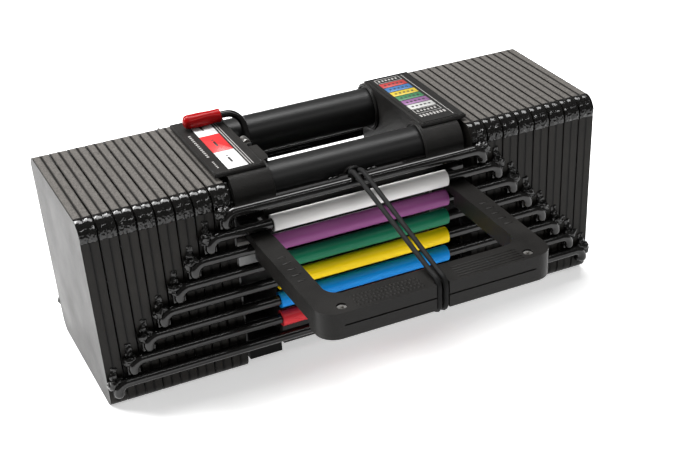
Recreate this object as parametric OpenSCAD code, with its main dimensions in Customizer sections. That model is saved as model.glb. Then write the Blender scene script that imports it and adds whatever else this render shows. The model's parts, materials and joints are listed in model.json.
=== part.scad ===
// Adjustable block dumbbell: eight nested rectangular weights, a handle core with end covers,
// a U-shaped selector pin, an elastic tether and a swinging lever.
// Units are millimetres. X runs along the dumbbell, the pin side faces -Y, Z is up and z = 0 is the floor.

/* [Nested weights] */
// overall length over the outermost plates
overall_length = 420; // [340:1:480]
// depth of a weight plate, front to back
plate_depth = 133; // [110:1:160]
// height of a weight plate
plate_height = 155; // [130:1:180]
// thickness of one steel plate
plate_thickness = 6.3; // [5:0.1:8]
// groove between the two plates of a pair
pair_groove = 0.3; // [0.1:0.1:0.6]
// distance from one weight's pair of plates to the next one's
pair_pitch = 14; // [12:0.1:18]
// top corner radius of a plate
top_corner = 11; // [4:0.5:20]
// bottom corner radius of a plate
bottom_corner = 10; // [4:0.5:20]

/* [Rails] */
// diameter of a rail bar
rail_dia = 8; // [6:0.1:10]
// vertical distance between neighbouring rails
rail_pitch = 16.4; // [14:0.1:20]
// height of the lowest rail's axis
rail_low = 24; // [12:0.5:40]
// distance of a rail's axis in front of the plates
rail_out = 5; // [4.2:0.1:8]
// bend radius of a rail's ends
rail_bend = 8; // [6:0.5:12]
// outside diameter of a coloured sleeve
sleeve_dia = 12.6; // [9:0.1:14]
// length of a coloured sleeve
sleeve_length = 144; // [100:1:160]

/* [Handle core] */
// outside diameter of the two upper tubes
tube_dia = 31; // [25:0.5:40]
// height of the tubes' axes
tube_z = 140.1; // [120:0.1:160]
// distance of each tube's axis from the middle
tube_y = 43.3; // [35:0.1:50]
// half length of the tubes and of the grip bar
tube_half = 94.3; // [80:0.1:100]
// outside radius of the cups round the tube ends
cup_radius = 19.3; // [17:0.1:24]
// distance from the middle to the inner wall of a cover
cover_inner = 64; // [50:0.5:80]
// distance from the middle to the outer edge of a cover's lip
cover_outer = 103; // [96:0.5:110]
// height of the top of a cover
cover_top = 159.5; // [150:0.1:170]
// diameter of the hand grip
grip_dia = 33; // [28:0.5:38]
// height of the hand grip's axis
grip_z = 75; // [60:1:90]

/* [Lever] */
// wire diameter
lever_wire = 5.5; // [4:0.1:8]
// height of the lever's pivot
lever_z = 105; // [98:0.5:120]
// distance from the pivot to the capped arm
lever_reach = 69.7; // [60:0.1:80]
// lean towards the back in the closed position
lever_lean = 29.5; // [0:1:40]

/* [Selector pin] */
// height of the underside of the prongs
pin_low = 110.7; // [30:0.1:140]
// thickness of the prongs
prong_thickness = 7; // [5:0.1:8]
// distance from the middle to the inner side of an arm
arm_inner = 74; // [70:0.5:80]
// width of an arm
arm_width = 16; // [10:0.5:20]
// front of the pin's grip bar
pin_front = -202; // [-240:1:-100]
// front-to-back width of the grip bar
bar_width = 24; // [16:0.5:30]
// height of the grip bar
bar_height = 20; // [12:0.5:26]
// height of the arms
arm_height = 14.3; // [8:0.1:20]
// where the thick part of an arm ends, in front of the rails
arm_stop = -82.8; // [-100:0.1:-79]
// where the prongs end behind
prong_tip = 72; // [60:1:90]

/* [Hidden] */
fine = 64;
face_y = plate_depth / 2;
rail_y = face_y + rail_out;
pair_thickness = 2 * plate_thickness + pair_groove;
half = overall_length / 2;
pin_top = pin_low + prong_thickness;
rail_r = rail_dia / 2;
cross_y = tube_y + tube_dia / 2 + 0.1;
cross_low = 118.8;
cross_high = 139.4;
// shift in Y that centres the whole outline over the origin
y_home = -(pin_front + rail_y + rail_r) / 2;

// everything is drawn about the plates' middle, then moved home
module home() {
    translate([0, y_home, 0]) children();
}

// inner edge of weight n's pair of plates and the height of its rail, n = 1 innermost
function pair_outer(n) = half - (8 - n) * pair_pitch;
function pair_middle(n) = pair_outer(n) - pair_thickness / 2;
function rail_z(n) = rail_low + (8 - n) * rail_pitch;

// side view of a plate, drawn smaller all round by i
module plate_outline(i) {
    w = plate_depth / 2;
    t = top_corner;
    b = bottom_corner;
    translate([-w + i, b]) square([2 * w - 2 * i, plate_height - t - b]);
    translate([-w + t, plate_height - t - 1]) square([2 * w - 2 * t, t + 1 - i]);
    translate([-w + b, i]) square([2 * w - 2 * b, b + 1 - i]);
    for (s = [-1, 1]) {
        translate([s * (w - t), plate_height - t]) circle(r = t - i, $fn = fine);
        translate([s * (w - b), b]) circle(r = b - i, $fn = fine);
    }
}

// slab of the plate's side view between x and x + t
module plate_slab(x, t, i) {
    translate([x, 0, 0]) rotate([90, 0, 90]) linear_extrude(height = t) plate_outline(i);
}

// weight n's pair of plates on the +X side: two plates with a shallow groove between them
module plate_pair(n) {
    x = pair_outer(n) - pair_thickness;
    plate_slab(x, plate_thickness, 0);
    plate_slab(x + plate_thickness - 0.5, pair_groove + 1, 0.8);
    plate_slab(x + plate_thickness + pair_groove, plate_thickness, 0);
}

module right_pair(n) {
    color([0.12, 0.12, 0.12]) home() plate_pair(n);
}

module left_pair(n) {
    color([0.12, 0.12, 0.12]) home() mirror([1, 0, 0]) plate_pair(n);
}

// one end of a rail on the +X side: a bend downwards, a rounded end and the weld to the plates
module rail_end(n) {
    x = pair_middle(n);
    z = rail_z(n);
    translate([x - rail_bend, 0, z - rail_bend]) rotate([90, 0, 0])
        rotate_extrude(angle = 90, $fn = fine) translate([rail_bend, 0]) circle(r = rail_r, $fn = fine);
    translate([x, 0, z - rail_bend]) rotate_extrude($fn = fine) intersection() {
        circle(r = rail_r, $fn = fine);
        translate([0, -rail_r]) square([rail_r, rail_r]);
    }
}

// a rail along X at y = 0, both ends bent down
module rail(n) {
    x = pair_middle(n) - rail_bend;
    translate([-x, 0, rail_z(n)]) rotate([0, 90, 0]) cylinder(r = rail_r, h = 2 * x, $fn = fine);
    rail_end(n);
    mirror([1, 0, 0]) rail_end(n);
}

// weld pads between a rail's ends and the front edges of its plates
module weld_pads(n) {
    for (s = [-1, 1]) {
        translate([s * pair_middle(n) - 4.5, 0, rail_z(n) - 11])
            cube([9, rail_out, 8]);
    }
}

module front_side_rail(n) {
    color([0.05, 0.05, 0.05]) home() translate([0, -rail_y, 0]) {
        rail(n);
        weld_pads(n);
    }
}

module rear_side_rail(n) {
    color([0.05, 0.05, 0.05]) home() mirror([0, 1, 0]) translate([0, -rail_y, 0]) {
        rail(n);
        weld_pads(n);
    }
}

// coloured sleeve on weight n's front rail
module sleeve(n) {
    translate([1 - sleeve_length / 2, -rail_y, rail_z(n)]) rotate([0, 90, 0]) difference() {
        cylinder(r = sleeve_dia / 2, h = sleeve_length, $fn = fine);
        translate([0, 0, -1]) cylinder(r = rail_r + 0.1, h = sleeve_length + 2, $fn = fine);
    }
}

module left_plates_1() {
    left_pair(1);
}

module right_plates_1() {
    right_pair(1);
}

module front_rail_1() {
    front_side_rail(1);
}

module rear_rail_1() {
    rear_side_rail(1);
}

module left_plates_2() {
    left_pair(2);
}

module right_plates_2() {
    right_pair(2);
}

module front_rail_2() {
    front_side_rail(2);
}

module rear_rail_2() {
    rear_side_rail(2);
}

module left_plates_3() {
    left_pair(3);
}

module right_plates_3() {
    right_pair(3);
}

module front_rail_3() {
    front_side_rail(3);
}

module rear_rail_3() {
    rear_side_rail(3);
}

module left_plates_4() {
    left_pair(4);
}

module right_plates_4() {
    right_pair(4);
}

module front_rail_4() {
    front_side_rail(4);
}

module rear_rail_4() {
    rear_side_rail(4);
}

module left_plates_5() {
    left_pair(5);
}

module right_plates_5() {
    right_pair(5);
}

module front_rail_5() {
    front_side_rail(5);
}

module rear_rail_5() {
    rear_side_rail(5);
}

module left_plates_6() {
    left_pair(6);
}

module right_plates_6() {
    right_pair(6);
}

module front_rail_6() {
    front_side_rail(6);
}

module rear_rail_6() {
    rear_side_rail(6);
}

module left_plates_7() {
    left_pair(7);
}

module right_plates_7() {
    right_pair(7);
}

module front_rail_7() {
    front_side_rail(7);
}

module rear_rail_7() {
    rear_side_rail(7);
}

module left_plates_8() {
    left_pair(8);
}

module right_plates_8() {
    right_pair(8);
}

module front_rail_8() {
    front_side_rail(8);
}

module rear_rail_8() {
    rear_side_rail(8);
}

module white_sleeve() {
    color([0.92, 0.92, 0.9]) home() sleeve(2);
}

module purple_sleeve() {
    color([0.55, 0.35, 0.6]) home() sleeve(3);
}

module green_sleeve() {
    color([0.1, 0.5, 0.35]) home() sleeve(4);
}

module yellow_sleeve() {
    color([0.95, 0.8, 0.05]) home() sleeve(5);
}

module blue_sleeve() {
    color([0.1, 0.5, 0.8]) home() sleeve(6);
}

module red_sleeve() {
    color([0.8, 0.1, 0.15]) home() sleeve(7);
}

// steel end frame of the handle core on the +X side
module end_frame() {
    difference() {
        translate([tube_half, 0, 0]) rotate([90, 0, 90]) linear_extrude(height = 2.5) difference() {
            union() {
                translate([-56, 14.6]) square([112, 125.4]);
                translate([-44, 130]) square([88, 24]);
                for (s = [-1, 1]) translate([s * 44, 140]) circle(r = 14, $fn = fine);
            }
            for (s = [-1, 1]) translate([s * tube_y, tube_z]) circle(r = 11, $fn = fine);
            translate([0, grip_z]) circle(r = 5, $fn = fine);
        }
    }
}

module left_end_frame() {
    color([0.2, 0.2, 0.2]) home() mirror([1, 0, 0]) end_frame();
}

module right_end_frame() {
    color([0.2, 0.2, 0.2]) home() end_frame();
}

// hollow upper tube along X at y = 0
module tube() {
    translate([-tube_half, 0, tube_z]) rotate([0, 90, 0]) difference() {
        cylinder(r = tube_dia / 2, h = 2 * tube_half, $fn = fine);
        translate([0, 0, -1]) cylinder(r = tube_dia / 2 - 2, h = 2 * tube_half + 2, $fn = fine);
    }
}

module front_tube() {
    color([0.1, 0.1, 0.1]) home() translate([0, -tube_y, 0]) tube();
}

module rear_tube() {
    color([0.1, 0.1, 0.1]) home() translate([0, tube_y, 0]) tube();
}

// round add-on weights, one in each end of each tube
module adder_weights() {
    color([0.5, 0.5, 0.5]) home() for (s = [-1, 1], t = [-1, 1]) {
        translate([s * 62, t * tube_y, tube_z]) rotate([0, 90, 0])
            cylinder(r = tube_dia / 2 - 2.3, h = 62, center = true, $fn = fine);
    }
}

module grip_bar() {
    color([0.4, 0.4, 0.4]) home() translate([-tube_half, 0, grip_z]) rotate([0, 90, 0])
        cylinder(r = 9, h = 2 * tube_half, $fn = fine);
}

module hand_grip() {
    color([0.08, 0.08, 0.08]) home() translate([-cover_inner + 0.2, 0, grip_z]) rotate([0, 90, 0]) difference() {
        cylinder(r = grip_dia / 2, h = 2 * cover_inner - 0.4, $fn = fine);
        translate([0, 0, -1]) cylinder(r = 9.1, h = 2 * cover_inner + 2, $fn = fine);
    }
}

// body of a moulded end cover on the +X side: inner wall, floor and the two cups round the tubes
module cover_body() {
    difference() {
        union() {
            translate([cover_inner, -56, 12]) cube([2.5, 112, 124]);
            translate([cover_inner, -46, 130]) cube([2.5, 92, cover_top - 131]);
            translate([cover_inner, -56, 12]) cube([tube_half - cover_inner, 112, 2.6]);
            for (s = [-1, 1]) translate([cover_inner - 1.5, s * tube_y, tube_z]) rotate([0, 90, 0])
                cylinder(r = cup_radius, h = tube_half - cover_inner + 1.5, $fn = fine);
        }
        for (s = [-1, 1]) {
            translate([cover_inner - 3, s * tube_y, tube_z]) rotate([0, 90, 0])
                cylinder(r = tube_dia / 2 + 0.1, h = 40, $fn = fine);
            translate([cover_inner - 3, s * (cross_y + 1.1) - 1.3, cross_low - 0.2])
                cube([40, 2.6, cross_high - cross_low + 0.4]);
            translate([cover_inner + 8, s * (cross_y + 4) - 2.5, cross_low + 6])
                cube([18, 5, 11]);
        }
        translate([cover_inner - 3, 0, grip_z]) rotate([0, 90, 0]) cylinder(r = 9.1, h = 40, $fn = fine);
        // seat of the top plate
        translate([cover_inner - 0.05, -70, cover_top - 2.6]) cube([50, 140, 6]);
    }
}

// top plate of a cover, whose lip laps over the innermost weights
module cover_plate() {
    translate([cover_inner, -50, cover_top - 2.55]) cube([cover_outer - cover_inner, 100, 2.55]);
}

// the left cover has a hole for the lever's pivot and a small rounded lobe on its top plate's inner edge
module left_cover() {
    color([0.15, 0.15, 0.15]) home() mirror([1, 0, 0]) {
        difference() {
            cover_body();
            translate([cover_inner - 3, 0, lever_z]) rotate([0, 90, 0]) cylinder(r = 6.1, h = 8, $fn = fine);
            translate([cover_inner - 1.6, -43.1, cover_top - 2.6]) cube([4, 27.2, 6]);
        }
        difference() {
            union() {
                cover_plate();
                translate([cover_inner - 7, -36, cover_top - 6]) cube([10, 20, 5.5]);
                translate([cover_inner, -36, cover_top - 6]) cylinder(r = 7, h = 5.5, $fn = fine);
            }
            translate([cover_inner - 1.55, -60, cover_top - 8]) cube([40, 60, 5.45]);
            translate([cover_inner - 20, -tube_y, tube_z]) rotate([0, 90, 0])
                cylinder(r = tube_dia / 2 + 0.1, h = 60, $fn = fine);
        }
    }
}

module right_cover() {
    color([0.15, 0.15, 0.15]) home() {
        cover_body();
        cover_plate();
    }
}

// folded steel cross plate between the end frames, outside the front tube
module cross_plate() {
    translate([-tube_half, 0, cross_low]) cube([2 * tube_half, 2.2, cross_high - cross_low]);
}

// the front one has a raised tab with a hole for the tether
module front_cross_plate() {
    color([0.1, 0.1, 0.1]) home() translate([0, -cross_y - 2.2, 0]) difference() {
        union() {
            cross_plate();
            translate([-11, 0, cross_high - 1]) cube([22, 2.2, 2.5]);
            translate([0, 2.2, cross_high - 2]) rotate([90, 0, 0]) cylinder(r = 8, h = 2.2, $fn = fine);
        }
        translate([0, 3, cross_high]) rotate([90, 0, 0]) cylinder(r = 4.2, h = 4, $fn = fine);
    }
}

module rear_cross_plate() {
    color([0.1, 0.1, 0.1]) home() translate([0, cross_y, 0]) cross_plate();
}

// thin sheet pan that ties the two covers together below the grip, with raised front and rear edges
module bottom_pan() {
    w = 2 * cover_inner + 4.6;
    color([0.08, 0.08, 0.08]) home() translate([-w / 2, 0, 9.4]) {
        translate([0, -60, 0]) cube([w, 120, 2.58]);
        for (s = [-1, 1]) translate([0, s * 59.2 - 0.8, 0]) cube([w, 1.6, 52.6]);
    }
}

// four feet under the covers
module feet() {
    color([0.05, 0.05, 0.05]) home() for (s = [-1, 1], t = [-1, 1]) {
        translate([s * 80 - 13.5, t * 46 - 9, 0]) cube([27, 18, 12]);
    }
}

// thin printed plates on the covers
module left_label() {
    color([0.9, 0.9, 0.9]) home() translate([-91.3, -46.5, cover_top]) cube([16.3, 93, 0.4]);
}

module right_label() {
    color([0.85, 0.85, 0.85]) home() translate([67.5, -47, cover_top]) cube([30, 94, 0.4]);
}

// steel bracket on the left cover's inner wall: the bush the lever turns in, and a stop tab above it
module lever_bracket() {
    color([0.7, 0.7, 0.7]) home() {
        translate([-cover_inner - 7, 0, lever_z]) rotate([0, 90, 0]) difference() {
            cylinder(r = 6, h = 8.5, $fn = fine);
            translate([0, 0, -1]) cylinder(r = lever_wire / 2 + 0.06, h = 11, $fn = fine);
        }
        translate([-cover_inner + 0.05, -6, cover_top - 12]) cube([1.5, 12, 9]);
        translate([-cover_inner + 0.05, -6, cover_top - 4.5]) cube([6, 12, 1.5]);
    }
}

// the lever's wire, bent in a plane through its pivot axis
module lever_rod() {
    r = lever_wire / 2;
    color([0.08, 0.08, 0.08]) home() translate([0, 0, lever_z]) rotate([-lever_lean, 0, 0]) {
        translate([-94.5, 0, lever_reach]) rotate([0, 90, 0]) cylinder(r = r, h = 32.5, $fn = fine);
        translate([-62, 0, lever_reach - 12]) rotate([90, 0, 0])
            rotate_extrude(angle = 90, $fn = fine) translate([12, 0]) circle(r = r, $fn = fine);
        translate([-50, 0, 8]) cylinder(r = r, h = lever_reach - 20, $fn = fine);
        translate([-58, 0, 8]) rotate([90, 90, 0])
            rotate_extrude(angle = 90, $fn = fine) translate([8, 0]) circle(r = r, $fn = fine);
        translate([-74, 0, 0]) rotate([0, 90, 0]) cylinder(r = r, h = 16, $fn = fine);
    }
}

// soft cap on the lever's upper arm
module lever_cap() {
    color([0.8, 0.03, 0.03]) home() translate([0, 0, lever_z]) rotate([-lever_lean, 0, 0])
        translate([-67, 0, lever_reach]) rotate([0, -90, 0]) difference() {
            union() {
                cylinder(r = 5.4, h = 24.6, $fn = fine);
                translate([0, 0, 24.6]) rotate_extrude($fn = fine) intersection() {
                    circle(r = 5.4, $fn = fine);
                    square([5.4, 5.4]);
                }
            }
            translate([0, 0, -1]) cylinder(r = lever_wire / 2 + 0.02, h = 28.6, $fn = fine);
        }
}

// top view of the pin's moulded U
module pin_outline() {
    o = arm_inner + arm_width;
    difference() {
        union() {
            translate([-o, pin_front + 14]) square([2 * o, arm_stop - pin_front - 14]);
            translate([-o + 14, pin_front]) square([2 * o - 28, 20]);
            for (s = [-1, 1]) translate([s * (o - 14), pin_front + 14]) circle(r = 14, $fn = fine);
        }
        translate([-arm_inner, pin_front + bar_width + 12]) square([2 * arm_inner, 200]);
        translate([-arm_inner + 12, pin_front + bar_width]) square([2 * arm_inner - 24, 20]);
        for (s = [-1, 1]) translate([s * (arm_inner - 12), pin_front + bar_width + 12])
            circle(r = 12, $fn = fine);
    }
}

module pin_handle() {
    color([0.13, 0.13, 0.13]) home() difference() {
        union() {
            translate([0, 0, pin_top - arm_height]) linear_extrude(height = arm_height) pin_outline();
            translate([0, 0, pin_top - bar_height]) linear_extrude(height = bar_height) intersection() {
                pin_outline();
                translate([-100, pin_front - 1]) square([200, bar_width + 1]);
            }
        }
        // seam round the front of the grip bar
        translate([-arm_inner, pin_front - 1, pin_top - bar_height / 2 - 0.6])
            cube([2 * arm_inner, 1.9, 1.2]);
        // groove for the tether
        translate([-5, pin_front - 1, pin_top - bar_height - 1]) cube([10, 5.5, bar_height + 2]);
        // screw wells
        for (s = [-1, 1]) translate([s * 72, pin_front + 8.5, pin_top - 4])
            cylinder(r = 3.8, h = 6, $fn = fine);
        // sockets for the prongs
        for (s = [-1, 1]) translate([s * (arm_inner + arm_width / 2) - 5.1, arm_stop - 40, pin_low + 0.9])
            cube([10.2, 41, 5.2]);
    }
}

// two flat prongs with narrower tangs in the arms
module pin_prongs() {
    color([0.1, 0.1, 0.1]) home() for (s = [-1, 1]) translate([s * (arm_inner + arm_width / 2), 0, pin_low]) {
        translate([-7.5, arm_stop, 0]) cube([15, prong_tip - 7.5 - arm_stop, prong_thickness]);
        translate([0, prong_tip - 7.5, 0]) cylinder(r = 7.5, h = prong_thickness, $fn = fine);
        translate([-5, arm_stop - 39, 1]) cube([10, 40, 5]);
    }
}

module pin_screws() {
    color([0.3, 0.3, 0.3]) home() for (s = [-1, 1]) translate([s * 72, pin_front + 8.5, pin_top - 4]) difference() {
        cylinder(r = 3.5, h = 2.8, $fn = fine);
        translate([0, 0, 1.2]) cylinder(r = 1.8, h = 3, $fn = 6);
    }
}

// round bar of radius r from p to q
module bar_between(p, q, r) {
    d = q - p;
    l = norm(d);
    translate(p) rotate([0, acos(d[2] / l), atan2(d[1], d[0])]) cylinder(r = r, h = l, $fn = 24);
}

// elastic tether: two strands from the tab, over the top rail, to the groove in the grip bar
module tether_cord() {
    color([0.04, 0.04, 0.04]) home() for (s = [-1, 1]) {
        bar_between([s * 3, -cross_y - 4.6, cross_high + 3], [s * 3.4, -rail_y - 1, rail_z(1) + 6.6], 1.8);
        translate([s * 3.4, -rail_y - 1, rail_z(1) + 6.6]) sphere(r = 1.8, $fn = 24);
        bar_between([s * 3.4, -rail_y - 1, rail_z(1) + 6.6], [s * 2.6, pin_front + 2.4, pin_top + 2.4], 1.8);
    }
}

left_plates_1();
right_plates_1();
front_rail_1();
rear_rail_1();
left_plates_2();
right_plates_2();
front_rail_2();
rear_rail_2();
left_plates_3();
right_plates_3();
front_rail_3();
rear_rail_3();
left_plates_4();
right_plates_4();
front_rail_4();
rear_rail_4();
left_plates_5();
right_plates_5();
front_rail_5();
rear_rail_5();
left_plates_6();
right_plates_6();
front_rail_6();
rear_rail_6();
left_plates_7();
right_plates_7();
front_rail_7();
rear_rail_7();
left_plates_8();
right_plates_8();
front_rail_8();
rear_rail_8();
white_sleeve();
purple_sleeve();
green_sleeve();
yellow_sleeve();
blue_sleeve();
red_sleeve();
left_end_frame();
right_end_frame();
front_tube();
rear_tube();
adder_weights();
grip_bar();
hand_grip();
left_cover();
right_cover();
front_cross_plate();
rear_cross_plate();
feet();
bottom_pan();
left_label();
right_label();
lever_bracket();
lever_rod();
lever_cap();
pin_handle();
pin_prongs();
pin_screws();
tether_cord();
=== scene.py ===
import json
import math
import random

import bmesh
import bpy
from mathutils import Matrix, Vector, noise


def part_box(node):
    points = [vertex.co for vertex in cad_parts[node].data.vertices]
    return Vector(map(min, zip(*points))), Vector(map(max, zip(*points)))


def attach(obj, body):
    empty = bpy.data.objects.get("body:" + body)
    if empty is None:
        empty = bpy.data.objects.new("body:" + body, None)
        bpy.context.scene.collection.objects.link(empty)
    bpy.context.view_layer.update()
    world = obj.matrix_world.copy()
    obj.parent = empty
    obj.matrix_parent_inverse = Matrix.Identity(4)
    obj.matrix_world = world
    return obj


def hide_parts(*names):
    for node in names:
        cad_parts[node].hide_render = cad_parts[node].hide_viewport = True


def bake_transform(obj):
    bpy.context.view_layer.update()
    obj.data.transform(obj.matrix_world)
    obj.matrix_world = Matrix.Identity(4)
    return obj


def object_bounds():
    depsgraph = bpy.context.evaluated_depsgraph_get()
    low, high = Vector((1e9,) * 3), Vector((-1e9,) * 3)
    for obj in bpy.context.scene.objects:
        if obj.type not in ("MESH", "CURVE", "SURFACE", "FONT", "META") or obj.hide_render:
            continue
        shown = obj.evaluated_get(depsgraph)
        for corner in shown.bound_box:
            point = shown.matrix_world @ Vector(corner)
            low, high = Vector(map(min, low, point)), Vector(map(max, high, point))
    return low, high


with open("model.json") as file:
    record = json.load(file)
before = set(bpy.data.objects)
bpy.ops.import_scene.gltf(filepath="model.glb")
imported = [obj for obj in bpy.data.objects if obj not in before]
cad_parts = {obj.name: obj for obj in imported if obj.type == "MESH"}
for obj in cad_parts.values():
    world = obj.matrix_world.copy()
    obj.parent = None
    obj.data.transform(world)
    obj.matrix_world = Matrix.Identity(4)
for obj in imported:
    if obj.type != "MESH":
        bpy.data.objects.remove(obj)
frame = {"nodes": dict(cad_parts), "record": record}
cad_box = [list(v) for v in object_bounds()]
NODES = frame["nodes"]
FLOOR_Z = cad_box[0][2]
MM = 0.001

# ---------------------------------------------------------------- camera
AZ, EL, ROLL = math.radians(25.057), math.radians(35.934), math.radians(-2.499)
LENS, SHIFT_X, SHIFT_Y = 68.9443, -0.064516, 0.252933  # the frame is an off-centre part of the view
TARGET, DIST = Vector((0.085881, 0.146147, -0.190762)), 1.303325
fwd = Vector((math.sin(AZ) * math.cos(EL), math.cos(AZ) * math.cos(EL), -math.sin(EL)))
side = fwd.cross(Vector((0, 0, 1))).normalized()
up = side.cross(fwd)
cam_x = math.cos(ROLL) * side + math.sin(ROLL) * up
cam_y = -math.sin(ROLL) * side + math.cos(ROLL) * up
cam_data = bpy.data.cameras.new("camera")
cam = bpy.data.objects.new("camera", cam_data)
bpy.context.scene.collection.objects.link(cam)
place = Matrix((cam_x, cam_y, -fwd)).transposed().to_4x4()
place.translation = TARGET - DIST * fwd
cam.matrix_world = place
cam_data.sensor_fit = "HORIZONTAL"
cam_data.sensor_width = 36
cam_data.lens = LENS
cam_data.shift_x = SHIFT_X
cam_data.shift_y = SHIFT_Y
cam_data.clip_end = 30
bpy.context.scene.camera = cam

# ---------------------------------------------------------------- materials
PLATE_PITCH, HALF_LENGTH = 0.007, 0.21


class Shader:
    """A node material built step by step, in object space and metres."""

    def __init__(self, name, **values):
        self.mat = bpy.data.materials.new(name)
        self.mat.use_nodes = True
        self.tree = self.mat.node_tree
        self.bsdf = self.tree.nodes["Principled BSDF"]
        for key, value in values.items():
            self.bsdf.inputs[key.replace("_", " ")].default_value = value
        self.coords = self.tree.nodes.new("ShaderNodeTexCoord").outputs["Object"]

    def node(self, kind, **settings):
        n = self.tree.nodes.new(kind)
        for key, value in settings.items():
            setattr(n, key, value)
        return n

    def link(self, a, b):
        self.tree.links.new(a, b)

    def noise(self, scale, detail=4, rough=0.55, stretch=(1, 1, 1)):
        n = self.node("ShaderNodeTexNoise")
        n.inputs["Scale"].default_value = scale
        n.inputs["Detail"].default_value = detail
        n.inputs["Roughness"].default_value = rough
        m = self.node("ShaderNodeMapping")
        m.inputs["Scale"].default_value = stretch
        self.link(self.coords, m.inputs["Vector"])
        self.link(m.outputs["Vector"], n.inputs["Vector"])
        return n.outputs["Fac"]

    def cells(self, scale, feature="F1"):
        n = self.node("ShaderNodeTexVoronoi", feature=feature)
        n.inputs["Scale"].default_value = scale
        self.link(self.coords, n.inputs["Vector"])
        return n.outputs["Distance"]

    def ramp(self, value, stops):
        n = self.node("ShaderNodeValToRGB")
        els = n.color_ramp.elements
        while len(els) < len(stops):
            els.new(0.5)
        for e, (pos, col) in zip(els, stops):
            e.position = pos
            e.color = (*col, 1)
        self.link(value, n.inputs["Fac"])
        return n.outputs["Color"]

    def span(self, value, a, b, c, d):
        n = self.node("ShaderNodeMapRange")
        for key, v in zip(("From Min", "From Max", "To Min", "To Max"), (a, b, c, d)):
            n.inputs[key].default_value = v
        self.link(value, n.inputs["Value"])
        return n.outputs["Result"]

    def math(self, operation, *values):
        n = self.node("ShaderNodeMath", operation=operation)
        for socket, v in zip(n.inputs, values):
            if hasattr(v, "is_linked"):
                self.link(v, socket)
            else:
                socket.default_value = v
        return n.outputs[0]

    def mix(self, fac, a, b):
        n = self.node("ShaderNodeMix", data_type="RGBA")
        for key, v in ((0, fac), (6, a), (7, b)):
            if hasattr(v, "is_linked"):
                self.link(v, n.inputs[key])
            elif key:
                n.inputs[key].default_value = (*v, 1)
            else:
                n.inputs[key].default_value = v
        return n.outputs[2]

    def color(self, out):
        self.link(out, self.bsdf.inputs["Base Color"])

    def rough(self, out):
        self.link(out, self.bsdf.inputs["Roughness"])

    def bump(self, height, strength, distance, chain=None):
        n = self.node("ShaderNodeBump")
        n.inputs["Strength"].default_value = strength
        n.inputs["Distance"].default_value = distance
        self.link(height, n.inputs["Height"])
        if chain is not None:
            self.link(chain, n.inputs["Normal"])
        self.link(n.outputs["Normal"], self.bsdf.inputs["Normal"])
        return n.outputs["Normal"]

    def split(self, vector):
        n = self.node("ShaderNodeSeparateXYZ")
        self.link(vector, n.inputs[0])
        return n.outputs


def coated_steel():
    s = Shader("textured_coat", Metallic=0.0, IOR=1.5)
    s.bsdf.inputs["Specular IOR Level"].default_value = 0.12
    grain = s.noise(1500, 3, 0.65)
    cloud = s.noise(22, 5)
    # painted light: the flat edges that face up are painted lighter and grainier than the sides, as if lit
    # from above
    facing = s.split(s.node("ShaderNodeNewGeometry").outputs["Normal"])
    painted_top_light = s.span(facing["Z"], 0.55, 0.95, 0, 1)
    dark = s.ramp(cloud, [(0.3, (0.010, 0.0092, 0.0082)), (0.7, (0.020, 0.0184, 0.0162))])
    light = s.ramp(grain, [(0.34, (0.048, 0.045, 0.042)), (0.68, (0.175, 0.164, 0.152))])
    # plates repeat from the outer ends: painted shade darkens each one's rounded rims, where the gaps
    # between plates fall in shadow
    outward = s.math("ABSOLUTE", s.split(s.coords)["X"])
    along = s.math("FRACT", s.math("MULTIPLY_ADD", outward, -1 / PLATE_PITCH, HALF_LENGTH / PLATE_PITCH))
    rim = s.span(s.math("ABSOLUTE", s.math("ADD", along, -0.45)), 0.27, 0.42, 0, 1)
    edge_on = s.span(s.math("ABSOLUTE", facing["X"]), 0.3, 0.7, 0.85, 0)
    painted_gap_shade = s.math("MULTIPLY", rim, edge_on)
    s.color(s.mix(painted_gap_shade, s.mix(painted_top_light, dark, light), (0.002, 0.0019, 0.0018)))
    s.rough(s.span(cloud, 0.3, 0.7, 0.34, 0.46))
    s.bump(grain, 0.35, 0.0002)
    return s.mat


def gloss_paint(name="gloss_paint", base=(0.0045, 0.0042, 0.004)):
    s = Shader(name, Metallic=0.0, IOR=1.52)
    s.bsdf.inputs["Specular IOR Level"].default_value = 0.12
    s.bsdf.inputs["Coat Weight"].default_value = 0.55
    s.bsdf.inputs["Coat Roughness"].default_value = 0.06
    wave = s.noise(240, 3)
    s.color(s.ramp(s.noise(60, 4), [(0.3, base), (0.75, tuple(1.8 * c for c in base))]))
    s.rough(s.span(wave, 0.3, 0.7, 0.13, 0.24))
    s.bump(wave, 0.25, 0.0004)
    return s.mat


def weld_paint():
    s = Shader("painted_weld", Metallic=0.0, IOR=1.55)
    s.bsdf.inputs["Specular IOR Level"].default_value = 0.1
    s.bsdf.inputs["Coat Weight"].default_value = 0.55
    s.bsdf.inputs["Coat Roughness"].default_value = 0.05
    lumps = s.cells(420, "SMOOTH_F1")
    fine = s.noise(900, 3)
    s.color(s.ramp(fine, [(0.35, (0.004, 0.0038, 0.0036)), (0.7, (0.009, 0.0086, 0.0082))]))
    s.rough(s.span(fine, 0.3, 0.7, 0.08, 0.2))
    s.bump(fine, 0.08, 0.0002, s.bump(lumps, 0.14, 0.0006))
    return s.mat


def vinyl(name, base, deep, gloss=0.3):
    s = Shader(name, Metallic=0.0, IOR=1.47)
    s.bsdf.inputs["Specular IOR Level"].default_value = 0.16
    drawn = s.noise(60, 4, 0.5, (0.12, 1, 1))
    speck = s.noise(700, 3)
    s.color(s.mix(s.span(speck, 0.62, 0.8, 0, 0.25), s.ramp(drawn, [(0.25, deep), (0.6, base)]), deep))
    s.rough(s.span(drawn, 0.3, 0.7, gloss - 0.05, gloss + 0.09))
    s.bump(speck, 0.12, 0.0002, s.bump(drawn, 0.2, 0.0005))
    return s.mat


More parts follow.
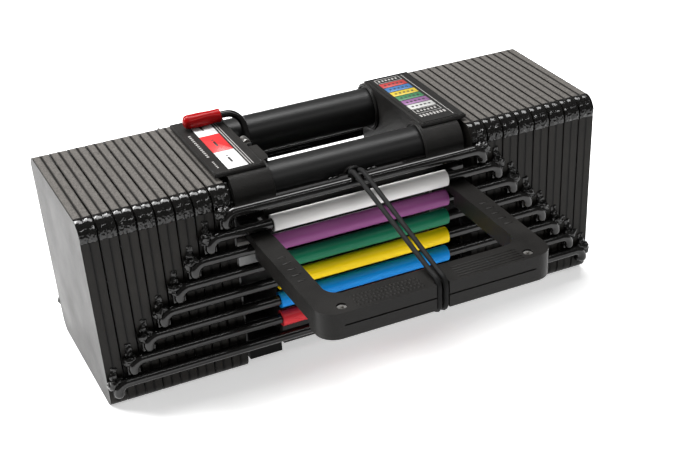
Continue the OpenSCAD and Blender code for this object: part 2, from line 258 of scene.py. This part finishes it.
def moulded(name, base, light, rough, grain=900, depth=0.0002, strength=0.5):
    s = Shader(name, Metallic=0.0, IOR=1.47)
    cell = s.cells(grain)
    cloud = s.noise(35, 5)
    s.bsdf.inputs["Specular IOR Level"].default_value = 0.16
    speck = s.span(s.noise(1600, 2), 0.6, 0.8, 0, 0.6)
    s.color(s.mix(speck, s.ramp(cloud, [(0.3, base), (0.75, light)]), tuple(2.0 * c for c in light)))
    s.rough(s.span(cloud, 0.3, 0.7, rough - 0.04, rough + 0.07))
    s.bump(cell, strength, depth)
    return s.mat


def skin_rubber():
    s = Shader("rubbery_skin", Metallic=0.0, IOR=1.5)
    s.bsdf.inputs["Specular IOR Level"].default_value = 0.25
    s.bsdf.inputs["Sheen Weight"].default_value = 0.02
    s.bsdf.inputs["Sheen Roughness"].default_value = 0.5
    drawn = s.noise(45, 4, 0.5, (0.25, 1, 1))
    pores = s.noise(1500, 2)
    s.color(s.ramp(drawn, [(0.3, (0.006, 0.006, 0.006)), (0.75, (0.010, 0.010, 0.010))]))
    s.rough(s.span(drawn, 0.3, 0.7, 0.34, 0.43))
    s.bump(pores, 0.18, 0.00015)
    return s.mat


def bare_steel(name="bare_steel", base=(0.55, 0.54, 0.52), rough=0.3):
    s = Shader(name, Metallic=1.0)
    brushed = s.noise(380, 4, 0.6, (0.06, 1, 1))
    s.color(s.ramp(brushed, [(0.3, tuple(0.7 * c for c in base)), (0.7, base)]))
    s.rough(s.span(brushed, 0.3, 0.7, rough - 0.06, rough + 0.1))
    s.bump(brushed, 0.2, 0.0002)
    return s.mat


def woven():
    s = Shader("woven_cord", Metallic=0.0, IOR=1.45)
    s.bsdf.inputs["Specular IOR Level"].default_value = 0.2
    s.bsdf.inputs["Sheen Weight"].default_value = 0.02
    s.bsdf.inputs["Sheen Roughness"].default_value = 0.4
    fuzz = s.noise(2500, 3)
    s.color(s.ramp(fuzz, [(0.3, (0.003, 0.003, 0.003)), (0.7, (0.009, 0.009, 0.009))]))
    s.rough(s.span(fuzz, 0.3, 0.7, 0.6, 0.8))
    s.bump(fuzz, 0.5, 0.0002)
    return s.mat


def printed(name, base, rough=0.34):
    s = Shader(name, Metallic=0.0, IOR=1.46)
    wear = s.noise(160, 5)
    worn = tuple(0.86 * c + 0.01 for c in base)
    s.color(s.ramp(wear, [(0.3, worn), (0.62, base)]))
    s.rough(s.span(wear, 0.3, 0.7, rough - 0.05, rough + 0.1))
    s.bump(s.noise(900, 2), 0.08, 0.0001)
    return s.mat


MAT = {
    "plates": coated_steel(),
    "rails": gloss_paint(),
    "white": vinyl("white_vinyl", (0.78, 0.77, 0.76), (0.66, 0.65, 0.64), 0.36),
    "purple": vinyl("purple_vinyl", (0.235, 0.066, 0.20), (0.17, 0.046, 0.148)),
    "green": vinyl("green_vinyl", (0.008, 0.15, 0.075), (0.006, 0.105, 0.052)),
    "yellow": vinyl("yellow_vinyl", (0.90, 0.64, 0.004), (0.80, 0.54, 0.002)),
    "blue": vinyl("blue_vinyl", (0.003, 0.24, 0.68), (0.002, 0.17, 0.54)),
    "red": vinyl("red_vinyl", (0.64, 0.035, 0.045), (0.50, 0.022, 0.03)),
    "frame": gloss_paint("frame_paint", (0.005, 0.0047, 0.0045)),
    "tubes": skin_rubber(),
    "steel": bare_steel(),
    "grip": moulded(
        "hand_grip_rubber", (0.004, 0.004, 0.004), (0.007, 0.007, 0.007), 0.62, 500, 0.0004, 0.8
    ),
    "cover": moulded("moulded_cover", (0.012, 0.0116, 0.011), (0.021, 0.020, 0.019), 0.4),
    "feet": moulded("foot_rubber", (0.004, 0.004, 0.004), (0.008, 0.008, 0.008), 0.6, 600),
    "label": printed("label_film", (0.010, 0.0096, 0.009), 0.3),
    "lever_wire": gloss_paint("lever_paint", (0.005, 0.0047, 0.0045)),
    "lever_cap": vinyl("red_cap_vinyl", (0.37, 0.005, 0.006), (0.26, 0.003, 0.004), 0.22),
    "pin": moulded(
        "pin_plastic", (0.0065, 0.0060, 0.0055), (0.0112, 0.0104, 0.0095), 0.42, 1300, 0.00015, 0.6
    ),
    "cord": woven(),
}
WELD = weld_paint()
SLOT = {p["node"]: p["material_slot"] for p in frame["record"]["subparts"]}

BEVEL = {"plates": 0.7, "cover": 0.9, "frame": 0.5, "feet": 1.2, "label": 0.12, "pin": 1.1}
for name, obj in NODES.items():
    slot = SLOT[name]
    obj.data.materials.clear()
    obj.data.materials.append(MAT[slot])
    if slot in BEVEL:
        b = obj.modifiers.new("edge", "BEVEL")
        b.width = BEVEL[slot] * MM
        b.segments = 2
        b.limit_method = "ANGLE"
        b.angle_limit = math.radians(35)
        b.use_clamp_overlap = True
        b.harden_normals = True

# ---------------------------------------------------------------- floor and light
bpy.ops.mesh.primitive_plane_add(size=14, location=(0, 1.5, FLOOR_Z - 0.0004))
floor = bpy.context.object
floor.name = "floor"
s = Shader("pale_floor", Roughness=0.6)
s.color(s.ramp(s.noise(3, 3), [(0.3, (0.93, 0.93, 0.93)), (0.7, (0.95, 0.95, 0.95))]))
s.bsdf.inputs["Emission Color"].default_value = (1, 1, 1, 1)
s.bsdf.inputs["Emission Strength"].default_value = 0.5
floor.data.materials.append(s.mat)

world = bpy.data.worlds.new("studio")
bpy.context.scene.world = world
world.use_nodes = True
world.node_tree.nodes["Background"].inputs[0].default_value = (1, 0.99, 0.975, 1)
world.node_tree.nodes["Background"].inputs[1].default_value = 0.14
bpy.context.scene.view_settings.view_transform = "Standard"


def softbox(name, at, to, size, watts):
    data = bpy.data.lights.new(name, "AREA")
    data.shape = "RECTANGLE"
    data.size, data.size_y = size
    data.energy = watts
    o = bpy.data.objects.new(name, data)
    bpy.context.scene.collection.objects.link(o)
    o.location = at
    o.rotation_euler = (Vector(to) - Vector(at)).to_track_quat("-Z", "Y").to_euler()


softbox("sky", (0.1, 0.7, 2.6), (0, 0.1, 0), (2.6, 0.9), 74)
softbox("overhead", (-0.35, 0.75, 1.75), (0, 0.1, 0), (1.0, 0.34), 22)
softbox("left_back", (-1.9, 1.3, 1.3), (-0.3, 0.3, 0), (0.8, 0.8), 58)
softbox("front_strip", (0.5, -1.3, 1.7), (0, 0, 0.05), (1.6, 0.06), 6)

# ---------------------------------------------------------------- geometry helpers
outer_lo, outer_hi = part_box("left_plates_8")
MID_Y = (outer_lo.y + outer_hi.y) / 2
# plates in millimetres: top, half depth, corner radius, pair thickness, pitch of the pairs
PLATE_TOP = outer_hi.z / MM
FACE = (outer_hi.y - outer_lo.y) / 2 / MM
CORNER, PAIR, PITCH = 11, 12.9, 14.0


def P(x, y, z):
    """A point in millimetres about the plates' middle, as a vector in the row frame."""
    return Vector((x * MM, MID_Y + y * MM, z * MM))


def piece(name, verts, faces, mat, body, slot, smooth=True):
    me = bpy.data.meshes.new(name)
    me.from_pydata([tuple(v) for v in verts], [], faces)
    me.validate()
    bm = bmesh.new()
    bm.from_mesh(me)
    bmesh.ops.recalc_face_normals(bm, faces=bm.faces)
    bm.to_mesh(me)
    bm.free()
    if smooth:
        me.shade_smooth()
    me.materials.append(mat)
    o = bpy.data.objects.new(name, me)
    bpy.context.scene.collection.objects.link(o)
    if body:
        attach(o, body)
    return o


def merged(parts):
    """One list of vertices and one of faces out of many."""
    verts, faces = [], []
    for v, f in parts:
        base = len(verts)
        verts += v
        faces += [tuple(i + base for i in face) for face in f]
    return verts, faces


def spline(points, step):
    """Smooth curve through the points, resampled at equal steps."""
    pts = [Vector(p) for p in points]
    pts = [2 * pts[0] - pts[1], *pts, 2 * pts[-1] - pts[-2]]
    fine = []
    for a, b, c, d in zip(pts, pts[1:], pts[2:], pts[3:]):
        for k in range(24):
            t = k / 24
            square, cube = 2 * a - 5 * b + 4 * c - d, 3 * b - a - 3 * c + d
            fine.append(0.5 * (2 * b + (c - a) * t + square * t * t + cube * t**3))
    fine.append(pts[-2])
    total = sum((q - p).length for p, q in zip(fine, fine[1:]))
    count = max(2, round(total / step))
    out, want, run, i = [fine[0]], total / count, 0, 0
    for k in range(1, count):
        while run + (fine[i + 1] - fine[i]).length < k * want:
            run += (fine[i + 1] - fine[i]).length
            i += 1
        seg = fine[i + 1] - fine[i]
        out.append(fine[i] + seg * ((k * want - run) / seg.length))
    return out + [fine[-1]]


def tube(path, radius, sides=16, relief=None):
    """Closed tube along a path; radius is a number or f(i, n), relief(s, angle) adds to it."""
    verts, faces = [], []
    n = len(path)
    normal = Vector((0, 0, 1))
    run = 0
    for i, p in enumerate(path):
        t = (path[min(i + 1, n - 1)] - path[max(i - 1, 0)]).normalized()
        normal = (normal - t * normal.dot(t)).normalized()
        other = t.cross(normal)
        if i:
            run += (p - path[i - 1]).length
        r = radius(i, n) if callable(radius) else radius
        for k in range(sides):
            a = 2 * math.pi * k / sides
            rr = r + (relief(run, a) if relief else 0)
            verts.append(p + rr * (math.cos(a) * normal + math.sin(a) * other))
    for i in range(n - 1):
        for k in range(sides):
            a, b = i * sides + k, i * sides + (k + 1) % sides
            faces.append((a, b, b + sides, a + sides))
    for ring, centre in ((range(sides), path[0]), (range((n - 1) * sides, n * sides), path[-1])):
        verts.append(centre)
        c = len(verts) - 1
        ring = list(ring)
        for k in range(sides):
            faces.append((ring[k], ring[(k + 1) % sides], c))
    return verts, faces


def slab(x0, x1, y0, y1, z0, z1, r=0.8, seg=4):
    """Flat plate with rounded corners and a soft upper edge, in millimetres."""
    verts, faces = [], []
    edge = min(0.35 * (z1 - z0), 0.3)
    for z, inset in ((z0, 0), (z1 - edge, 0), (z1, edge)):
        corners = ((x1 - r, y1 - r), (x0 + r, y1 - r), (x0 + r, y0 + r), (x1 - r, y0 + r))
        for (cx, cy), a0 in zip(corners, (0, 90, 180, 270)):
            for k in range(seg + 1):
                a = math.radians(a0 + 90 * k / seg)
                verts.append(P(cx + (r - inset) * math.cos(a), cy + (r - inset) * math.sin(a), z))
    n = 4 * (seg + 1)
    for layer in range(2):
        for k in range(n):
            a, b = layer * n + k, layer * n + (k + 1) % n
            faces.append((a, b, b + n, a + n))
    faces.append(tuple(range(n))[::-1])
    faces.append(tuple(range(2 * n, 3 * n)))
    return verts, faces


def blobs(name, balls, mat, body, slot, voxel, rough, seed, keep=None):
    """Lumpy weld metal: overlapping balls fused to one skin, then roughened."""
    parts = []
    for (x, y, z), (a, b, c) in balls:
        bm = bmesh.new()
        bmesh.ops.create_icosphere(bm, subdivisions=2, radius=1)
        parts.append(
            (
                [P(x + a * v.co.x, y + b * v.co.y, z + c * v.co.z) for v in bm.verts],
                [tuple(v.index for v in f.verts) for f in bm.faces],
            )
        )
        bm.free()
    o = piece(name, *merged(parts), mat, None, slot)
    m = o.modifiers.new("fuse", "REMESH")
    m.mode = "VOXEL"
    m.voxel_size = voxel * MM
    m = o.modifiers.new("melt", "SMOOTH")
    m.iterations = 3
    m.factor = 0.6
    graph = bpy.context.evaluated_depsgraph_get()
    me = bpy.data.meshes.new_from_object(o.evaluated_get(graph))
    o.modifiers.clear()
    o.data = me
    shift = Vector((seed * 0.37, seed * 0.11, 0))
    for v in me.vertices:
        n = v.normal.copy()
        coarse = noise.noise((v.co + shift) / (2.1 * MM))
        d = coarse * rough + noise.noise((v.co + shift) / (0.9 * MM)) * rough * 0.4
        v.co = v.co + n * d * MM
        if keep:
            keep(v)
    me.shade_smooth()
    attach(o, body)
    return o


# ---------------------------------------------------------------- tether: two strands of woven cord
CORD_R = 1.8
BAR_Y, BAR_R = -193.7, 7.2  # middle and radius of the bends over the handle bar's front edges


def bend(angle, z):
    """Point on a bend round the bar's front, from straight up over to the front and under."""
    a = math.radians(angle)
    return (2.6, BAR_Y - BAR_R * math.sin(a), z + BAR_R * math.cos(a))


# from the hitch over the top rail, down to the bar, round its front and under it
LEAD = [
    (2.0, -60.6, 140.3),
    (2.35, -62.2, 141.1),
    (2.9, -65.2, 143.4),
    (3.2, -68.3, 145.0),
    (3.4, -71.8, 145.7),
    (3.45, -75.5, 145.3),
]
FALL = [(3.4 - 0.75 * k / 9, -84.0 - 11.6 * k, 143.75 - (143.75 - 121.6) * k / 9) for k in range(10)]
WRAP = [bend(a, 113.9) for a in (22, 42, 62, 82)]
DOWN = [(2.6, BAR_Y - BAR_R, z) for z in (109.5, 106, 102.5)]
UNDER = [bend(90 + a, 101.5) for a in (22, 45, 68, 90)]
END = [(2.6, -189.5, 94.9), (2.6, -185.6, 97.4)]
ROUTE = LEAD + FALL + WRAP + DOWN + UNDER + END


def plait(s, a):
    """Relief of the woven sheath, in metres."""
    return 0.00016 * math.sin(2100 * s + 4 * a) * math.sin(2100 * s - 4 * a)


for hand, sign in (("left", -1), ("right", 1)):
    line = spline([P(sign * x, y, z) for x, y, z in ROUTE], 0.7 * MM)
    strand = piece("tether_strand_" + hand, *tube(line, CORD_R * MM, 18, plait), MAT["cord"], None, "cord")
    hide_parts("tether_cord")
    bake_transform(strand)

turn = [math.radians(a) for a in range(-20, 201, 20)]
arch = [P(3.1 * math.cos(a), -63.6 - 0.9 * math.sin(a), 142.6 + 3.6 * math.sin(a)) for a in turn]
hitch = tube(spline(arch, 0.5 * MM), 1.55 * MM, 14, plait)
piece("tether_hitch", *hitch, MAT["cord"], "core", "cord")

# ---------------------------------------------------------------- welds on the corners and the rail ends

def middle(n):
    """Distance from the centre to the middle of weight n's pair of plates."""
    return HALF_LENGTH / MM - (8 - n) * PITCH - PAIR / 2


def rail_height(n):
    return 24 + (8 - n) * 16.4


def clamp(low, value, high):
    return max(low, min(high, value))


def corner_bead(n, sx):
    """Run of weld over a pair's front top corner, one lump to each plate, on the sx end."""
    x0, x1 = middle(n) - PAIR / 2 + 0.1, middle(n) + PAIR / 2 - 0.1
    across, down = 30, 40
    start, arc, end = 0.8, CORNER * math.pi / 2, 3.6  # on the top, round the corner, down the front
    length = start + arc + end
    outer, inner = [], []
    for i in range(across + 1):
        x = x0 + (x1 - x0) * i / across
        c = min(abs(x - (middle(n) - 3.3)), abs(x - (middle(n) + 3.3))) / 3.2
        hump = math.sqrt(max(0.0, 1 - c * c * 0.9))
        wander = noise.noise(Vector((x * 0.45, 7 * n + 3 * sx, -5)))
        for k in range(down + 1):
            s = length * k / down
            if s < start:
                y, z, ny, nz = -FACE + CORNER + start - s, PLATE_TOP, 0, 1
            elif s < start + arc:
                a = (s - start) / arc * math.pi / 2
                ny, nz = -math.sin(a), math.cos(a)
                y, z = -FACE + CORNER + CORNER * ny, PLATE_TOP - CORNER + CORNER * nz
            else:
                y, z, ny, nz = -FACE, PLATE_TOP - CORNER - (s - start - arc), -1, 0
            t = (s + 1.6 * wander - 0.4) / length
            fade = math.sin(clamp(0.0, t / 0.14, 1.0) * clamp(0.0, (1 - t) / 0.16, 1.0) * math.pi / 2)
            low = 0.85 + 0.5 * clamp(0.0, (t - 0.45) / 0.2, 1.0)
            coarse = noise.noise(Vector((x * 0.9 + 11 * n, s * 0.75, 3 * sx - 1)))
            rough = coarse + 0.5 * noise.noise(Vector((x * 2.1 + 11 * n, s * 1.9, sx)))
            lumps = 0.75 * rough * clamp(0.12, (t - 0.55) / 0.2, 1.0)
            h = clamp(-0.25, (0.1 + 0.95 * hump * low + lumps) * fade, 1.75)
            outer.append(P(sx * x, y + ny * h, z + nz * h))
            inner.append(P(sx * x, y - ny * 0.8, z - nz * 0.8))
    w, off = down + 1, len(outer)
    faces = []
    for i in range(across):
        for k in range(down):
            q = (i * w + k, i * w + k + 1, (i + 1) * w + k + 1, (i + 1) * w + k)
            faces += [q, tuple(j + off for j in reversed(q))]
    rim = list(range(w)) + [i * w + down for i in range(1, across + 1)]
    rim += [across * w + k for k in range(down - 1, -1, -1)] + [i * w for i in range(across - 1, 0, -1)]
    for a, b in zip(rim, rim[1:] + rim[:1]):
        faces.append((a, b, b + off, a + off))
    return outer + inner, faces


rng = random.Random(11)
for n in range(1, 9):
    m = middle(n)
    beads = merged([corner_bead(n, sx) for sx in (-1, 1)])
    piece(f"corner_beads_{n}", *beads, WELD, f"weight_{n}", "rails")
    for sy, where in ((-1, "rear"), (1, "front")):
        balls = []
        z = rail_height(n)
        for sx in (-1, 1):

            def ball(x, y, dz, a, b, c):
                balls.append(((sx * (m + x), sy * y, z + dz), (a, b, c)))

            ball(0.6, -68.8, -2.0, 4.8, 3.4, 4.8)
            ball(4.0, -69.6, -0.8, 3.6, 3.6, 4.0)
            ball(2.4, -71.2, 1.7, 3.6, 3.7, 2.9)
            ball(-2.4, -69.6, 1.8, 3.4, 3.6, 3.2)
            ball(1.2, -67.6, 4.8, 3.4, 2.0, 4.2)
            for _ in range(11):
                spot = rng.uniform(-3.4, 6.2), rng.uniform(-73.4, -68.6), rng.uniform(-4.2, 4.4)
                ball(*spot, rng.uniform(1.1, 2.0), rng.uniform(1.1, 1.8), rng.uniform(1.1, 2.0))
            # flat pad of weld up the seam between the two plates
            ball(0.3, -66.9, 7.6, 2.9, 1.0, 4.6)
            ball(-1.0, -66.8, 10.6, 1.7, 0.8, 2.2)
            ball(1.7, -66.8, 11.6, 1.5, 0.8, 1.8)

        # the weld stays in front of the plates and off the neighbours
        def keep(v, sy=sy, m=m):
            out = -sy * (v.co.y - MID_Y) / MM
            if abs(abs(v.co.x) / MM - m) > 6.2:
                out = max(out, 67.0)
            elif out < 66.7:
                out = 66.3
            v.co.y = MID_Y - sy * out * MM

        blobs(f"rail_weld_{where}_{n}", balls, WELD, f"weight_{n}", "rails", 0.7, 0.75, n + 3 * sy, keep)

# ---------------------------------------------------------------- pin: ridges, knurling, ribs on the arms
ridges = [slab(14, 66, -199.0 + 3.2 * k, -197.6 + 3.2 * k, 117.4, 118.05, 0.6) for k in range(5)]
piece("pin_ridges", *merged(ridges), MAT["pin"], "pin", "pin")
knurl = []
for row in range(4):
    for k in range(17):
        x, y = -61 + 3.0 * k - 0.75 * (row % 2), -197.5 + 3.9 * row
        knurl.append(slab(x - 0.9, x + 0.9, y - 1.2, y + 1.2, 117.4, 117.95, 0.85))
piece("pin_knurl", *merged(knurl), MAT["pin"], "pin", "pin")
marks = []
for side_x in (-1, 1):
    for k in range(5):
        y = -150 + 9 * k
        marks.append(slab(side_x * 82 - 3.2, side_x * 82 + 3.2, y - 1.3, y + 1.3, 117.5, 118.0, 1.0))
piece("pin_arm_ribs", *merged(marks), MAT["pin"], "pin", "pin")

# ---------------------------------------------------------------- lever cap, dipped vinyl
cap_lo, cap_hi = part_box("lever_cap")
cy, cz = (cap_lo.y + cap_hi.y) / 2, (cap_lo.z + cap_hi.z) / 2
cap_line = [Vector((cap_hi.x - (cap_hi.x - cap_lo.x) * k / 40, cy, cz)) for k in range(41)]
cap_r = (cap_hi.z - cap_lo.z) / 2
DOME = 0.86  # where the rounded end starts, as a share of the length


def cap_shape(i, n):
    t = i / (n - 1)
    if t > DOME:
        return cap_r * math.sqrt(max(0.0, 1 - ((t - DOME) / (1 - DOME)) ** 2)) * 0.98 + 0.00002
    swell = 0.93 + 0.08 * clamp(0.0, t / 0.5, 1.0)
    lip = 0.06 * math.exp(-((t - 0.02) / 0.03) ** 2)
    return cap_r * (swell + lip - 0.02 * math.sin(9 * t))


def cap_ripple(s, a):
    return 0.00012 * math.sin(260 * s + 3 * a)


skin = tube(cap_line, cap_shape, 28, cap_ripple)
cap = piece("lever_cap_skin", *skin, MAT["lever_cap"], "lever", "lever_cap")
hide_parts("lever_cap")

# ---------------------------------------------------------------- labels and cover details
TOP = 159.9  # upper face of the label films


def film(x0, x1, y0, y1, r):
    """A printed patch lying on the label, in millimetres."""
    return slab(x0, x1, y0, y1, TOP - 0.1, TOP + 0.12, r)


def ink(x0, x1, y0, y1):
    """A printed mark on a patch, in millimetres."""
    return slab(x0, x1, y0, y1, TOP, TOP + 0.17, 0.8)


INK = printed("dark_ink", (0.015, 0.015, 0.015), 0.4)
PALE = printed("pale_field", (0.66, 0.66, 0.66))
SCARLET = printed("red_field", (0.58, 0.028, 0.03))
SILVER = printed("silver_ink", (0.33, 0.32, 0.31))
BAND = {
    "red": printed("chart_red", (0.36, 0.035, 0.035)),
    "blue": printed("chart_blue", (0.04, 0.13, 0.30)),
    "yellow": printed("chart_yellow", (0.46, 0.35, 0.03)),
    "green": printed("chart_green", (0.035, 0.15, 0.065)),
    "purple": printed("chart_purple", (0.20, 0.09, 0.21)),
    "white": printed("chart_white", (0.42, 0.42, 0.41)),
}
fields = (("near", -46.3, -15.6, PALE), ("middle", -15.4, 15.4, SCARLET), ("far", 15.6, 46.3, PALE))
for name, y0, y1, mat in fields:
    piece(f"left_field_{name}", *film(-91.1, -75.2, y0, y1, 0.3), mat, "core", "label")
ticks = []
for yc in (-31, 0, 31):
    ticks.append(ink(-84.9, -83.1, yc - 5.5, yc + 3.5))
    ticks.append(ink(-84.9, -83.1, yc + 5.0, yc + 6.8))
piece("left_field_marks", *merged(ticks), INK, "core", "label")
SUNK = TOP - 0.5, TOP - 0.28
dots = [slab(-97.6, -95.6, -20 + 3.4 * k, -17.8 + 3.4 * k, *SUNK, 0.7) for k in range(13)]
dots += [slab(-97.2, -95.8, -40 + 2.6 * k, -38.4 + 2.6 * k, *SUNK, 0.5) for k in range(5)]
piece("left_cover_dashes", *merged(dots), SILVER, "core", "label")

# chart: an outlined row, six coloured rows and another outlined row, from the rear to the front
CHART_X0, CHART_X1, CHART_Y, ROW, GAP = 70.5, 92.5, 45.5, 8.7, 1.0
thin, inks = [], []
y = CHART_Y
for i, colour in enumerate((None, *BAND, None)):
    x0, x1, a, b = CHART_X0, CHART_X1, y - ROW, y
    if colour:
        piece(f"chart_band_{i}", *film(x0, x1, a, b, 0.3), BAND[colour], "core", "label")
        inks += [ink(73.0 + 3.6 * k, 75.2 + 3.6 * k, y - 5.6, y - 3.2) for k in range(5)]
    else:
        bars = ((x0, x1, a, a + 0.6), (x0, x1, b - 0.6, b), (x0, x0 + 0.6, a, b), (x1 - 0.6, x1, a, b))
        thin += [film(*bar, 0.2) for bar in bars]
        thin += [film(x0 + 2.4 + 3.0 * k, x0 + 4.0 + 3.0 * k, a + 3.0, b - 2.6, 0.4) for k in range(6)]
    y -= ROW + GAP
piece("chart_lines", *merged(thin), SILVER, "core", "label")
head = [film(70.8 + 2.9 * k, 72.6 + 2.9 * k, y - 5.5, y - 1.2, 0.5) for k in range(8)]
head.append(film(95.2, 95.7, -44, CHART_Y, 0.2))
piece("chart_header", *merged(head), SILVER, "core", "label")
piece("chart_ticks", *merged(inks), INK, "core", "label")

trim = []
for x, radius in ((-73.2, 0.45), (-71.2, 0.35)):
    trim.append(tube([P(x, y, TOP - 0.35) for y in range(-46, 47, 4)], radius * MM, 8))
piece("left_cover_trim", *merged(trim), SILVER, "core", "cover")
rims = []
loop = [(65.0, -48.8), (102.0, -48.8), (102.0, 48.8), (65.0, 48.8)]
for sx in (-1, 1):
    for (xa, ya), (xb, yb) in zip(loop, loop[1:] + loop[:1]):
        path = [
            P(sx * (xa + (xb - xa) * k / 12), ya + (yb - ya) * k / 12, 159.45)
            for k in range(13)
        ]
        rims.append(tube(path, 0.55 * MM, 10))
piece("cover_rims", *merged(rims), MAT["cover"], "core", "cover")

TUBE_Y, TUBE_Z, COLLAR = 43.3, 140.1, 17.6
collars = []
circle = [2 * math.pi * k / 48 for k in range(49)]
for sx in (-1, 1):
    for sy in (-1, 1):
        ring = [
            P(sx * 62.9, sy * TUBE_Y + COLLAR * math.cos(a), TUBE_Z + COLLAR * math.sin(a))
            for a in circle
        ]
        collars.append(tube(ring, 1.15 * MM, 10))
piece("cup_collars", *merged(collars), MAT["cover"], "core", "cover")

clip = [(-63.0, 157.5), (-60.6, 158.6), (-58.2, 157.4), (-57.2, 154.6), (-57.9, 152.2)]
line = spline([P(x, 0, z) for x, z in clip], 0.5 * MM)
verts, faces = [], []
for i, p in enumerate(line):
    t = (line[min(i + 1, len(line) - 1)] - line[max(i - 1, 0)]).normalized()
    nrm = Vector((-t.z, 0, t.x))
    for dy, dn in ((-4.2, -0.5), (4.2, -0.5), (4.2, 0.5), (-4.2, 0.5)):
        verts.append(p + Vector((0, dy * MM, 0)) + nrm * dn * MM)
for i in range(len(line) - 1):
    for k in range(4):
        a, b = 4 * i + k, 4 * i + (k + 1) % 4
        faces.append((a, b, b + 4, a + 4))
faces += [(0, 1, 2, 3), tuple(range(4 * len(line) - 4, 4 * len(line)))]
o = piece("steel_clip", verts, faces, MAT["steel"], "core", "steel", smooth=False)
b = o.modifiers.new("edge", "BEVEL")
b.width, b.segments = 0.25 * MM, 2

tabs = []
for sx in (-1, 1):
    tabs += [((sx * (13 + 1.5 * k), -61.2, 140.0 + 0.3 * (k % 2)), (1.6, 1.1, 1.2)) for k in range(5)]
blobs("tab_welds", tabs, WELD, "core", "frame", 0.5, 0.4, 5)
